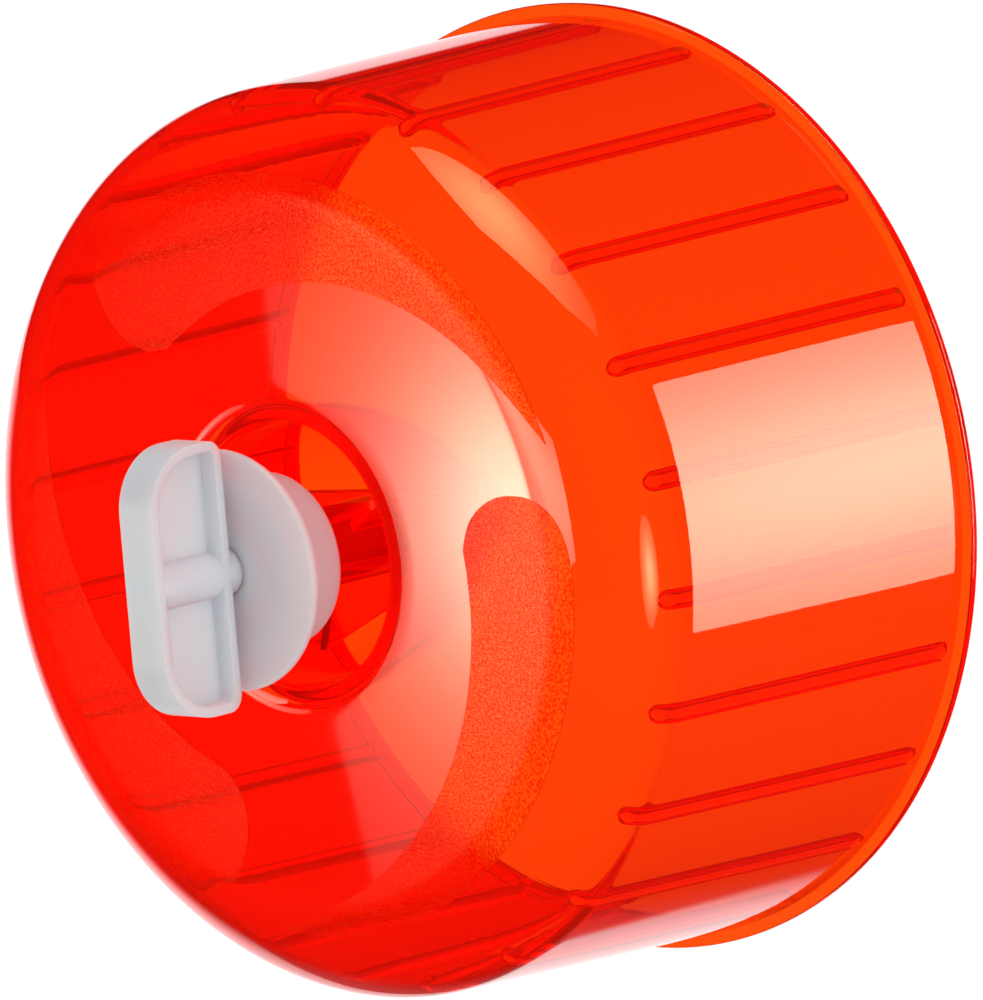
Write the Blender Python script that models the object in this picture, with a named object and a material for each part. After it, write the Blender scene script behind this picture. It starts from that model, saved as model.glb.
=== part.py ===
"""Hamster wheel: a see-through running drum on a white axle that clips to cage wires.

The Y axis is the axle. The origin lies on it, in the middle of the gap that
takes the wires of the cage. +Y runs through the drum to its open rim, and +Z
is up. The bar outside the cage and the axle are one moulding. The support
disc lies on the inner side of the wires, and a cap keeps the drum on.
"""

import math

import bmesh
import bpy

MM = 0.001

# Fits
RUNNING_CLEARANCE = 0.35 * MM
SEAT_GAP = 0.4 * MM
PUSH_GAP = 0.3 * MM
UNION_DEPTH = 0.8 * MM
CUT_OVERRUN = 1.0 * MM
WELD_DISTANCE = 0.001 * MM

# Wires of the cage
WIRE_GAP = 2.2 * MM

# Bar that lies outside the cage
BAR_LENGTH = 39.0 * MM
BAR_REACH = 14.6 * MM
BAR_WIDTH = 6.6 * MM
BAR_WALL = 1.4 * MM
BAR_WEB = 1.0 * MM
BAR_OUTER_RADIUS = 9.0 * MM
BAR_INNER_RADIUS = 2.5 * MM
BAR_EDGE_ROUND = 0.8 * MM

# Axle
AXLE_RADIUS = 3.4 * MM
SPIGOT_RADIUS = 2.6 * MM
SPIGOT_LENGTH = 3.4 * MM
SPIGOT_CHAMFER = 0.5 * MM

# Support disc and its spacer cup
DISC_RADIUS = 17.4 * MM
DISC_THICKNESS = 1.2 * MM
DISC_EDGE_ROUND = 0.4 * MM
CUP_RADIUS = 12.6 * MM
CUP_WALL = 1.5 * MM
CUP_LENGTH = 9.8 * MM
CUP_EDGE_ROUND = 1.1 * MM
CUP_FLOOR = 1.2 * MM
CUP_FILLET = 0.6 * MM

# Cap on the end of the axle
CAP_RADIUS = 6.6 * MM
CAP_CROWN = 1.3 * MM
CAP_EDGE_ROUND = 1.4 * MM

# Drum shell
RIM_RADIUS = 70.0 * MM
DRUM_DEPTH = 70.0 * MM
WALL = 2.0 * MM
FLANGE_REACH = 1.75 * MM
FLANGE_THICKNESS = 1.4 * MM
FLANGE_EDGE_ROUND = 0.4 * MM
WALL_TAPER = 1.8 * MM
CORNER_DEPTH = 13.2 * MM
CORNER_REACH = 14.7 * MM
CORNER_POWER = 1.3
RIM_CHAMFER = 0.3 * MM

# Hub of the drum: an open bell with a tube in the middle
HUB_RADIUS = 19.5 * MM
HUB_ROLL_REACH = 3.5 * MM
HUB_ROLL_DEPTH = 1.75 * MM
BELL_DEPTH = 33.2 * MM
BELL_WALL = 1.8 * MM
BELL_POWER = 2.6
BELL_FILLET = 1.5 * MM
TUBE_RADIUS = 5.8 * MM
TUBE_EDGE_ROUND = 0.4 * MM
TUBE_LEAD = 0.75 * MM
FIN_COUNT = 3
FIN_FIRST_ANGLE = 60.0
FIN_THICKNESS = 1.4 * MM
FIN_SETBACK = 6.1 * MM
FIN_FRONT_FALL = 3.0 * MM
FIN_TIP_REACH = 8.8 * MM
FIN_FOOT_REACH = 0.6 * MM

# Ribs that give the feet a hold
RIB_COUNT = 24
RIB_FIRST_ANGLE = 4.6
RIB_WIDTH = 3.0 * MM
RIB_HEIGHT = 1.4 * MM
RIB_START = 1.6 * MM
RIB_FACE_GAP = 9.7 * MM

# Comma-shaped pads with a matt surface on the closed face
PAD_COUNT = 3
PAD_FIRST_ANGLE = -43.4
PAD_SWEEP = 114.6
PAD_CORNER_RISE = 3.65 * MM
PAD_WIDTH = 20.1 * MM
PAD_RAISE = 0.25 * MM
PAD_POWER = 1.8
PAD_HEAD_SHARES = (
    (0.023, 0.082),
    (0.064, 0.055),
    (0.136, 0.033),
    (0.252, 0.015),
    (0.413, 0.004),
    (0.588, 0.000),
    (0.757, 0.010),
    (0.889, 0.033),
    (0.969, 0.068),
)
PAD_EDGE_START_SHARE = 0.11

# Steps of the round shapes
DRUM_STEPS = 60
CUP_STEPS = 40
AXLE_STEPS = 32
CORNER_STEPS = 5
BELL_STEPS = 6
ROUND_STEPS = 2
BAR_ROUND_STEPS = 5
RIB_END_STEPS = 2
RIB_BEND_STEPS = 3
RIB_CREST_STEPS = 3
PAD_STEPS = 14

# Places along the axle
BAR_INNER_Y = -WIRE_GAP / 2
BAR_OUTER_Y = BAR_INNER_Y - BAR_REACH
DISC_FRONT_Y = WIRE_GAP / 2
DISC_BACK_Y = DISC_FRONT_Y + DISC_THICKNESS
CUP_BACK_Y = DISC_BACK_Y + CUP_LENGTH
TUBE_FRONT_Y = CUP_BACK_Y + SEAT_GAP
FACE_Y = TUBE_FRONT_Y + TUBE_LEAD
RIM_Y = FACE_Y + DRUM_DEPTH
BELL_MOUTH_Y = FACE_Y + HUB_ROLL_DEPTH
BELL_BOTTOM_Y = BELL_MOUTH_Y + BELL_DEPTH
TUBE_END_Y = BELL_BOTTOM_Y + BELL_WALL
CAP_FRONT_Y = TUBE_END_Y + SEAT_GAP
SHOULDER_Y = CAP_FRONT_Y - PUSH_GAP
SPIGOT_END_Y = SHOULDER_Y + SPIGOT_LENGTH
CAP_FLOOR_Y = SPIGOT_END_Y + PUSH_GAP
CAP_END_Y = CAP_FLOOR_Y + CAP_CROWN

# Radii that follow
BORE_RADIUS = AXLE_RADIUS + RUNNING_CLEARANCE
CAP_BORE_RADIUS = SPIGOT_RADIUS + PUSH_GAP
WALL_RIM_RADIUS = RIM_RADIUS - FLANGE_REACH
WALL_CORNER_RADIUS = WALL_RIM_RADIUS - WALL_TAPER
FACE_RADIUS = WALL_CORNER_RADIUS - CORNER_REACH
PAD_OUTER_RADIUS = FACE_RADIUS + PAD_CORNER_RISE
PAD_INNER_RADIUS = PAD_OUTER_RADIUS - PAD_WIDTH


def material(name, colour, roughness, transmission=0.0):
    """Return a plain Principled material."""
    made = bpy.data.materials.new(name)
    made.use_nodes = True
    shader = made.node_tree.nodes["Principled BSDF"]
    shader.inputs["Base Color"].default_value = (*colour, 1.0)
    shader.inputs["Metallic"].default_value = 0.0
    shader.inputs["Roughness"].default_value = roughness
    shader.inputs["Transmission Weight"].default_value = transmission
    made.diffuse_color = (*colour, 1.0)
    return made


def add_object(name, bm, finish=None, sharp_degrees=35.0):
    """Put a bmesh into the scene as a named object, shaded smooth."""
    bmesh.ops.recalc_face_normals(bm, faces=bm.faces)
    mesh = bpy.data.meshes.new(name)
    bm.to_mesh(mesh)
    bm.free()
    mesh.shade_smooth()
    mesh.set_sharp_from_angle(angle=math.radians(sharp_degrees))
    obj = bpy.data.objects.new(name, mesh)
    bpy.context.scene.collection.objects.link(obj)
    if finish:
        mesh.materials.append(finish)
    return obj


def turned(profile, steps, closed=True):
    """Spin a profile of (radius, y) points about the Y axis into a bmesh.

    A closed profile gives a ring. An open one starts and ends on the axis.
    """
    bm = bmesh.new()
    verts = [bm.verts.new((radius, y, 0)) for radius, y in profile]
    edges = [bm.edges.new(pair) for pair in zip(verts, verts[1:])]
    if closed:
        edges.append(bm.edges.new((verts[-1], verts[0])))
    bmesh.ops.spin(
        bm,
        geom=verts + edges,
        cent=(0, 0, 0),
        axis=(0, 1, 0),
        angle=math.tau,
        steps=steps,
        use_merge=True,
    )
    bmesh.ops.remove_doubles(bm, verts=bm.verts, dist=WELD_DISTANCE)
    return bm


def prism(bm, outline, low, high, place):
    """Add an outline of (u, v) points, extruded from low to high, to a bmesh.

    place turns (u, v, height) into a point in space.
    """
    face = bm.faces.new([bm.verts.new(place(u, v, low)) for u, v in outline])
    walls = bmesh.ops.extrude_face_region(bm, geom=[face])
    moved = [item for item in walls["geom"] if isinstance(item, bmesh.types.BMVert)]
    shift = [top - base for top, base in zip(place(0, 0, high), place(0, 0, low))]
    bmesh.ops.translate(bm, verts=moved, vec=shift)
    return bm


def rounded(start, corner, end, steps=ROUND_STEPS):
    """Return the points of a curve from start to end that bends round a corner."""
    points = []
    for index in range(steps + 1):
        t = index / steps
        weights = ((1 - t) ** 2, 2 * t * (1 - t), t**2)
        triple = zip(start, corner, end)
        points.append(tuple(sum(w * c for w, c in zip(weights, row)) for row in triple))
    return points


def offset(line, distance):
    """Move a line of (radius, y) points sideways, to the left of its direction."""
    moved = []
    for index, (radius, y) in enumerate(line):
        before = line[max(index - 1, 0)]
        after = line[min(index + 1, len(line) - 1)]
        along = (after[0] - before[0], after[1] - before[1])
        length = math.hypot(*along)
        side = (-along[1] / length, along[0] / length)
        moved.append((radius + distance * side[0], y + distance * side[1]))
    return moved


def radius_at(line, y):
    """Read the radius of a line of (radius, y) points at one height."""
    for (r0, y0), (r1, y1) in zip(line, line[1:]):
        if min(y0, y1) <= y <= max(y0, y1):
            return r0 + (r1 - r0) * (y - y0) / (y1 - y0)
    raise ValueError("the line doesn't reach this height")


def boolean(target, tool, operation):
    """Apply a Boolean with another object, which is then removed."""
    modifier = target.modifiers.new(operation.title(), "BOOLEAN")
    modifier.operation = operation
    modifier.solver = "EXACT"
    modifier.object = tool
    graph = bpy.context.evaluated_depsgraph_get()
    mesh = bpy.data.meshes.new_from_object(target.evaluated_get(graph))
    target.modifiers.clear()
    old = target.data
    target.data = mesh
    mesh.name = target.name
    bpy.data.meshes.remove(old)
    bpy.data.objects.remove(tool)


def polar(radius, degrees, y):
    """Return the point at a radius and an angle from +Z toward +X."""
    turn = math.radians(degrees)
    return (radius * math.sin(turn), y, radius * math.cos(turn))


def outer_skin():
    """Return the drum's outer line from the flange to the edge of the hub."""
    corner_y = FACE_Y + CORNER_DEPTH
    line = [(WALL_RIM_RADIUS, RIM_Y - FLANGE_THICKNESS)]
    for index in range(CORNER_STEPS + 1):
        turn = math.pi / 2 * index / CORNER_STEPS
        reach = CORNER_REACH * max(math.cos(turn), 0) ** CORNER_POWER
        drop = CORNER_DEPTH * math.sin(turn) ** CORNER_POWER
        line.append((FACE_RADIUS + reach, corner_y - drop))
    line.append((HUB_RADIUS + HUB_ROLL_REACH, FACE_Y))
    return line


def bell_skin():
    """Return the recess side of the hub's bell, from its mouth to its bottom."""
    line = []
    for index in range(BELL_STEPS + 1):
        share = index / BELL_STEPS
        reach = (HUB_RADIUS - TUBE_RADIUS) * (1 - share**BELL_POWER)
        line.append((TUBE_RADIUS + reach, BELL_MOUTH_Y + BELL_DEPTH * share))
    return line


def drum_profile():
    """Return the closed outline of the drum shell, hub bell and tube."""
    outer = outer_skin()
    bell = bell_skin()
    edge = FLANGE_EDGE_ROUND
    flange_y = RIM_Y - FLANGE_THICKNESS
    loop = [(RIM_RADIUS - edge, RIM_Y), (RIM_RADIUS, RIM_Y - edge)]
    loop += [(RIM_RADIUS, flange_y + edge), (RIM_RADIUS - edge, flange_y)]
    loop += outer
    loop += rounded(outer[-1], (HUB_RADIUS, FACE_Y), bell[0])[1:-1]
    loop += bell
    edge = TUBE_EDGE_ROUND
    loop += [(TUBE_RADIUS, TUBE_FRONT_Y + edge), (TUBE_RADIUS - edge, TUBE_FRONT_Y)]
    loop += [(BORE_RADIUS, TUBE_FRONT_Y), (BORE_RADIUS, TUBE_END_Y)]
    loop += [(TUBE_RADIUS, TUBE_END_Y)]

    back = offset(outer, -WALL)
    shell = offset(bell, -BELL_WALL)
    face_back_y = back[-1][1]
    start_y = face_back_y + BELL_FILLET
    hub_back_radius = HUB_RADIUS + BELL_WALL
    end_radius = hub_back_radius + BELL_FILLET
    loop += [point for point in reversed(shell) if start_y < point[1] < TUBE_END_Y]
    bell_end = (radius_at(shell, start_y), start_y)
    face_start = (end_radius, face_back_y)
    loop += rounded(bell_end, (hub_back_radius, face_back_y), face_start)
    loop += [point for point in reversed(back[1:]) if point[0] > end_radius]

    inner_rim = WALL_RIM_RADIUS - WALL
    loop += [(inner_rim, RIM_Y - RIM_CHAMFER), (inner_rim + RIM_CHAMFER, RIM_Y)]
    return loop


def rib_stations():
    """Return the (y, scale) steps along a rib, which is drawn in at its round ends."""
    half = RIB_WIDTH / 2
    start = RIM_Y - RIB_START
    end = FACE_Y + RIB_FACE_GAP
    bend = min(max(FACE_Y + CORNER_DEPTH, end + RIB_WIDTH), start - RIB_WIDTH)
    ends = []
    for index in range(1, RIB_END_STEPS + 1):
        turn = math.pi / 2 * index / (RIB_END_STEPS + 1)
        ends.append((half * (1 - math.sin(turn)), math.sin(turn)))
    stations = [(start - inset, scale) for inset, scale in ends]
    stations.append((start - half, 1.0))
    for index in range(RIB_BEND_STEPS + 1):
        share = index / RIB_BEND_STEPS
        stations.append((bend + (end + half - bend) * share, 1.0))
    stations += [(end + inset, scale) for inset, scale in reversed(ends)]
    return stations


def add_rib(bm, degrees, wall_line):
    """Add one rounded rib on the inside of the drum wall to a bmesh."""
    half = RIB_WIDTH / 2
    turn = math.radians(degrees)
    out = (math.sin(turn), math.cos(turn))
    across = (math.cos(turn), -math.sin(turn))
    rings = []
    for y, scale in rib_stations():
        skin = radius_at(wall_line, y)
        ring = [(-half * scale, -UNION_DEPTH)]
        for index in range(RIB_CREST_STEPS + 1):
            crest = math.pi * (1 - index / RIB_CREST_STEPS)
            ring.append((half * scale * math.cos(crest), RIB_HEIGHT * scale * math.sin(crest)))
        ring.append((half * scale, -UNION_DEPTH))
        verts = []
        for side, rise in ring:
            x = (skin - rise) * out[0] + side * across[0]
            z = (skin - rise) * out[1] + side * across[1]
            verts.append(bm.verts.new((x, y, z)))
        rings.append(verts)
    join_rings(bm, rings)


def join_rings(bm, rings):
    """Join rings of points, one after the other, and close both ends."""
    count = len(rings[0])
    for first, second in zip(rings, rings[1:]):
        for index in range(count):
            after = (index + 1) % count
            bm.faces.new((first[index], first[after], second[after], second[index]))
    bm.faces.new(rings[0])
    bm.faces.new(rings[-1])


def pad_outline():
    """Return one comma's outline as (radius, degrees) points, from its head."""
    span = PAD_OUTER_RADIUS - PAD_INNER_RADIUS
    points = []
    for inward, along in PAD_HEAD_SHARES:
        points.append((PAD_OUTER_RADIUS - span * inward, PAD_SWEEP * along))
    last = PAD_HEAD_SHARES[-1][1]
    for index in range(1, PAD_STEPS + 1):
        share = last + (1 - last) * index / PAD_STEPS
        radius = PAD_INNER_RADIUS + span * share**PAD_POWER
        points.append((radius, PAD_SWEEP * share))
    for index in range(1, PAD_STEPS):
        share = 1 - (1 - PAD_EDGE_START_SHARE) * index / PAD_STEPS
        points.append((PAD_OUTER_RADIUS, PAD_SWEEP * share))
    return points


def add_pads(drum):
    """Raise the comma-shaped pads on the drum's closed face."""
    skin = outer_skin()[1:]
    slab = offset(skin, PAD_RAISE) + list(reversed(offset(skin, -UNION_DEPTH)))
    pads = add_object("pad_slab", turned(slab, DRUM_STEPS))
    commas = bmesh.new()
    for index in range(PAD_COUNT):
        first = PAD_FIRST_ANGLE + 360.0 * index / PAD_COUNT
        outline = [(radius, first + angle) for radius, angle in pad_outline()]
        prism(commas, outline, FACE_Y - CUT_OVERRUN, FACE_Y + CORNER_DEPTH, polar)
    boolean(pads, add_object("commas", commas), "INTERSECT")
    boolean(drum, pads, "UNION")


def add_fins(drum):
    """Join the fins of the tube to the hub."""
    front = FACE_Y + FIN_SETBACK
    inner = TUBE_RADIUS - UNION_DEPTH
    bottom = BELL_BOTTOM_Y + UNION_DEPTH
    tip = TUBE_RADIUS + FIN_TIP_REACH
    foot = TUBE_RADIUS + FIN_FOOT_REACH
    outline = [(inner, front + FIN_FRONT_FALL), (tip, front), (foot, bottom), (inner, bottom)]
    half = FIN_THICKNESS / 2
    fins = bmesh.new()
    for index in range(FIN_COUNT):
        turn = math.radians(FIN_FIRST_ANGLE + 360.0 * index / FIN_COUNT)
        out = (math.sin(turn), math.cos(turn))
        prism(
            fins,
            outline,
            -half,
            half,
            lambda r, y, w: (r * out[0] + w * out[1], y, r * out[1] - w * out[0]),
        )
    boolean(drum, add_object("fins", fins), "UNION")


def add_ribs(drum):
    """Join the ribs to the inside of the drum wall."""
    wall_line = [(WALL_RIM_RADIUS - WALL, RIM_Y)] + offset(outer_skin(), -WALL)[1:]
    ribs = bmesh.new()
    for index in range(RIB_COUNT):
        add_rib(ribs, RIB_FIRST_ANGLE + 360.0 * index / RIB_COUNT, wall_line)
    boolean(drum, add_object("ribs", ribs), "UNION")


def running_drum(finish):
    """Build the drum with its hub, fins, ribs and pads as one moulding."""
    drum = add_object("running_drum", turned(drum_profile(), DRUM_STEPS), finish)
    add_fins(drum)
    add_pads(drum)
    add_ribs(drum)
    return drum


def bar_outline(inset):
    """Return the bar's outline as (y, z) points, set in from its edge."""
    half = BAR_LENGTH / 2 - inset
    near = BAR_INNER_Y - inset
    far = BAR_OUTER_Y + inset
    outer = max(BAR_OUTER_RADIUS - inset, BAR_EDGE_ROUND)
    inner = max(BAR_INNER_RADIUS - inset, BAR_EDGE_ROUND)
    upper = []
    for y, radius, sign in ((near, inner, -1), (far, outer, 1)):
        centre = (y + sign * radius, half - radius)
        for index in range(BAR_ROUND_STEPS + 1):
            turn = math.pi / 2 * index / BAR_ROUND_STEPS
            if sign < 0:
                point = (math.cos(turn), math.sin(turn))
            else:
                point = (-math.sin(turn), math.cos(turn))
            upper.append((centre[0] + radius * point[0], centre[1] + radius * point[1]))
    lower = [(y, -z) for y, z in reversed(upper)]
    return upper + lower


def across_x(y, z, x):
    """Return the point of an outline in the YZ plane at a place along X."""
    return (x, y, z)


def lock_bar(finish):
    """Build the bar, cored from both sides, with the axle in one piece."""
    half = BAR_WIDTH / 2
    block = prism(bmesh.new(), bar_outline(0), -half, half, across_x)
    bar = add_object("lock_bar_axle", block, finish)
    bevel = bar.modifiers.new("Edge round", "BEVEL")
    bevel.width = BAR_EDGE_ROUND
    bevel.segments = 2
    bevel.limit_method = "ANGLE"
    bevel.angle_limit = math.radians(60)
    for side in (-1, 1):
        low, high = sorted((side * BAR_WEB / 2, side * (half + CUT_OVERRUN)))
        tray = prism(bmesh.new(), bar_outline(BAR_WALL), low, high, across_x)
        boolean(bar, add_object("tray", tray), "DIFFERENCE")
    start = BAR_OUTER_Y + BAR_WALL / 2
    end = SPIGOT_END_Y - SPIGOT_CHAMFER
    profile = [(0, start), (AXLE_RADIUS, start), (AXLE_RADIUS, SHOULDER_Y)]
    profile += [(SPIGOT_RADIUS, SHOULDER_Y), (SPIGOT_RADIUS, end)]
    profile += [(SPIGOT_RADIUS - SPIGOT_CHAMFER, SPIGOT_END_Y), (0, SPIGOT_END_Y)]
    axle = add_object("axle", turned(profile, AXLE_STEPS, closed=False))
    boolean(bar, axle, "UNION")
    return bar


def support_disc(finish):
    """Build the disc with the spacer cup that the drum runs against."""
    edge = DISC_EDGE_ROUND
    loop = [(BORE_RADIUS, DISC_FRONT_Y), (DISC_RADIUS - edge, DISC_FRONT_Y)]
    loop += [(DISC_RADIUS, DISC_FRONT_Y + edge), (DISC_RADIUS, DISC_BACK_Y - edge)]
    loop += [(DISC_RADIUS - edge, DISC_BACK_Y)]
    foot = (CUP_RADIUS + CUP_FILLET, DISC_BACK_Y)
    loop += rounded(foot, (CUP_RADIUS, DISC_BACK_Y), (CUP_RADIUS, DISC_BACK_Y + CUP_FILLET))
    side = (CUP_RADIUS, CUP_BACK_Y - CUP_EDGE_ROUND)
    lip = (CUP_RADIUS - CUP_EDGE_ROUND, CUP_BACK_Y)
    loop += rounded(side, (CUP_RADIUS, CUP_BACK_Y), lip)
    hollow = CUP_RADIUS - CUP_WALL
    floor = DISC_FRONT_Y + CUP_FLOOR
    loop += [(hollow, CUP_BACK_Y), (hollow, floor), (TUBE_RADIUS, floor)]
    loop += [(TUBE_RADIUS, CUP_BACK_Y), (BORE_RADIUS, CUP_BACK_Y)]
    return add_object("support_disc", turned(loop, CUP_STEPS), finish)


def axle_cap(finish):
    """Build the cap that is pushed on the spigot of the axle."""
    profile = [(0, CAP_FLOOR_Y), (CAP_BORE_RADIUS, CAP_FLOOR_Y), (CAP_BORE_RADIUS, CAP_FRONT_Y)]
    profile += [(CAP_RADIUS, CAP_FRONT_Y)]
    side = (CAP_RADIUS, CAP_END_Y - CAP_EDGE_ROUND)
    crown = (CAP_RADIUS - CAP_EDGE_ROUND, CAP_END_Y)
    profile += rounded(side, (CAP_RADIUS, CAP_END_Y), crown)
    profile += [(0, CAP_END_Y)]
    return add_object("axle_cap", turned(profile, AXLE_STEPS, closed=False), finish)


def main():
    """Clear the scene and build the wheel."""
    for obj in list(bpy.data.objects):
        bpy.data.objects.remove(obj)
    orange = material("clear_orange_plastic", (1.0, 0.05, 0.0), 0.06, 1.0)
    white = material("milky_white_plastic", (0.78, 0.79, 0.82), 0.35)
    bearing = bpy.data.objects.new("axle_line", None)
    bpy.context.scene.collection.objects.link(bearing)
    for piece in (running_drum(orange), lock_bar(white), support_disc(white), axle_cap(white)):
        piece.parent = bearing


main()
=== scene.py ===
"""Studio scene of a hamster wheel that clips to the wires of a cage.

The wheel is a clear orange drum on a milky white axle. Every length is in
metres and every angle in degrees unless its text says otherwise. The Y axis
is the axle, +Y runs through the drum to its open rim and +Z is up.
"""

import logging
import math
from collections.abc import Callable, Sequence
from dataclasses import dataclass
from enum import Enum

import bmesh
import bpy
from mathutils import Matrix, Vector


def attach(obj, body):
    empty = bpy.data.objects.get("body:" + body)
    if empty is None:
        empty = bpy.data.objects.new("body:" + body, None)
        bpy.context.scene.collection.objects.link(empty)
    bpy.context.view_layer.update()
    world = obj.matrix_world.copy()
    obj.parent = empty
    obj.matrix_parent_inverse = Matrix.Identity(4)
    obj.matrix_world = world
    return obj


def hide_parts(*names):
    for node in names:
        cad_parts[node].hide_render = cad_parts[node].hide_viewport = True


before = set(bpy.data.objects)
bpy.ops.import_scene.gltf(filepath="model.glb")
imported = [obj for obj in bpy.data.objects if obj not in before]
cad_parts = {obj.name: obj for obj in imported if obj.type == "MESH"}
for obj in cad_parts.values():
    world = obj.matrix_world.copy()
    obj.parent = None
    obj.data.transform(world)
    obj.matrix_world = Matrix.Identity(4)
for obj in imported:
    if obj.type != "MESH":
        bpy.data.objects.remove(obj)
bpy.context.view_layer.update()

LOG = logging.getLogger("hamster_wheel")

MM = 0.001
NEAR = 0.01 * MM
MATT_ATTRIBUTE = "matt_share"

Point = tuple[float, float]
Step = tuple[float, float]
Direction = tuple[float, float, float]
Colour = tuple[float, float, float, float]
Mesh = bmesh.types.BMesh
Piece = bpy.types.Object
Finish = bpy.types.Material
Socket = bpy.types.NodeSocket
Value = Socket | float | Sequence[float]
Lift = Callable[[int, float], float]

BLACK: Colour = (0.0, 0.0, 0.0, 1.0)
WHITE: Colour = (1.0, 1.0, 1.0, 1.0)
AMBER: Colour = (1.0, 0.90, 0.42, 1.0)


class Slot(Enum):
    """The record's material slots."""

    ORANGE = "clear_orange_plastic"
    WHITE = "milky_white_plastic"


class Body(Enum):
    """The bodies that the pieces ride on."""

    SUPPORT = "support"
    LOCK = "lock"
    DRUM = "drum"


class Merge(Enum):
    """How a second shape changes the first."""

    JOIN = "UNION"
    CUT = "DIFFERENCE"
    KEEP_SHARED = "INTERSECT"


# Shapes


def sine(degrees: float) -> float:
    """Return the sine of an angle in degrees."""
    return math.sin(math.radians(degrees))


def cosine(degrees: float) -> float:
    """Return the cosine of an angle in degrees."""
    return math.cos(math.radians(degrees))


def bend(start: Point, corner: Point, end: Point, steps: int = 6) -> list[Point]:
    """Draw a curve that leaves start towards corner and arrives at end.

    Args:
        start: First point of the curve.
        corner: Point that the curve bends round.
        end: Last point of the curve.
        steps: Number of pieces of the curve.

    Returns:
        The points of the curve, with both ends.
    """
    points = []
    for index in range(steps + 1):
        t = index / steps
        shares = ((1 - t) ** 2, 2 * t * (1 - t), t * t)
        rows = zip(start, corner, end)
        points.append(tuple(sum(s * c for s, c in zip(shares, row)) for row in rows))
    return points


def soften(
    line: Sequence[Point], radius: float, steps: int = 4, closed: bool = True
) -> list[Point]:
    """Round the corners of an outline.

    Args:
        line: Corner points.
        radius: Length that each corner loses on either side, at most.
        steps: Number of pieces of each rounding.
        closed: Whether the last point joins the first.

    Returns:
        The outline with rounded corners.
    """
    count = len(line)
    points: list[Point] = []
    for index, corner in enumerate(line):
        if not closed and index in (0, count - 1):
            points.append(corner)
            continue
        ends = []
        for other in (line[index - 1], line[(index + 1) % count]):
            way = Vector(other) - Vector(corner)
            reach = min(radius, way.length * 0.49)
            ends.append(tuple(Vector(corner) + way.normalized() * reach))
        points += bend(ends[0], corner, ends[1], steps)
    return points


def offset(line: Sequence[Point], distance: float) -> list[Point]:
    """Move a line of (radius, y) points to the left of its direction.

    Args:
        line: The points.
        distance: How far each point moves.

    Returns:
        The moved points.
    """
    moved = []
    for index, point in enumerate(line):
        before = Vector(line[max(index - 1, 0)])
        along = Vector(line[min(index + 1, len(line) - 1)]) - before
        side = Vector((-along.y, along.x)).normalized()
        moved.append(tuple(Vector(point) + side * distance))
    return moved


def smooth(line: Sequence[Point], rounds: int) -> list[Point]:
    """Even out the bends of a line and leave its ends in place.

    Args:
        line: The points.
        rounds: How often each point moves towards its neighbours.

    Returns:
        The moved points.
    """
    points = [Vector(point) for point in line]
    for _ in range(rounds):
        inner = [(a + b * 2 + c) / 4 for a, b, c in zip(points, points[1:], points[2:])]
        points = [points[0], *inner, points[-1]]
    return [tuple(point) for point in points]


def split(line: Sequence[Point], longest: float) -> list[Point]:
    """Add points to a line so that no piece of it is longer than a length.

    Args:
        line: The points.
        longest: Greatest length of a piece.

    Returns:
        The points with the added ones.
    """
    points = [line[0]]
    for start, end in zip(line, line[1:]):
        way = Vector(end) - Vector(start)
        count = max(1, math.ceil(way.length / longest))
        points += [tuple(Vector(start) + way * (k / count)) for k in range(1, count + 1)]
    return points


def full_turn(steps: int) -> list[float]:
    """Return evenly spaced angles round a full turn, in radians."""
    return [math.tau * index / steps for index in range(steps)]


def on_circle(radius: float, turn: float, y: float) -> Vector:
    """Return a point at a radius and an angle in radians from +Z toward +X."""
    return Vector((radius * math.sin(turn), y, radius * math.cos(turn)))


def lathe(
    profile: Sequence[Point],
    turns: Sequence[float],
    closed: bool = True,
    lift: Lift | None = None,
) -> Mesh:
    """Turn a profile of (radius, y) points about the Y axis.

    Args:
        profile: The points. A profile that isn't closed starts and ends on the axis.
        turns: Angles of the rows, in radians.
        closed: Whether the last point joins the first.
        lift: Gives how far a profile point moves towards the axis at an angle.

    Returns:
        The mesh, one closed body.
    """
    bm = bmesh.new()
    rows: list[list[bmesh.types.BMVert]] = []
    for turn in turns:
        row = []
        for index, (radius, y) in enumerate(profile):
            if not closed and index in (0, len(profile) - 1) and rows:
                row.append(rows[0][index])
                continue
            inward = lift(index, turn) if lift else 0.0
            row.append(bm.verts.new(on_circle(radius - inward, turn, y)))
        rows.append(row)
    count = len(profile)
    for first, second in zip(rows, rows[1:] + rows[:1]):
        for index in range(count if closed else count - 1):
            after = (index + 1) % count
            corners = (first[index], first[after], second[after], second[index])
            bm.faces.new(list(dict.fromkeys(corners)))
    return bm


def prism(
    bm: Mesh,
    outline: Sequence[Point],
    low: float,
    high: float,
    place: Callable[[float, float, float], Vector],
) -> None:
    """Add an extruded outline to a mesh.

    Args:
        bm: The mesh.
        outline: Corner points.
        low: Height of the first face.
        high: Height of the last face.
        place: Turns (u, v, height) into a point.
    """
    rings = [[bm.verts.new(place(u, v, height)) for u, v in outline] for height in (low, high)]
    count = len(outline)
    for index in range(count):
        after = (index + 1) % count
        bm.faces.new((rings[0][index], rings[0][after], rings[1][after], rings[1][index]))
    bm.faces.new(rings[0])
    bm.faces.new(rings[1])


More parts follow.
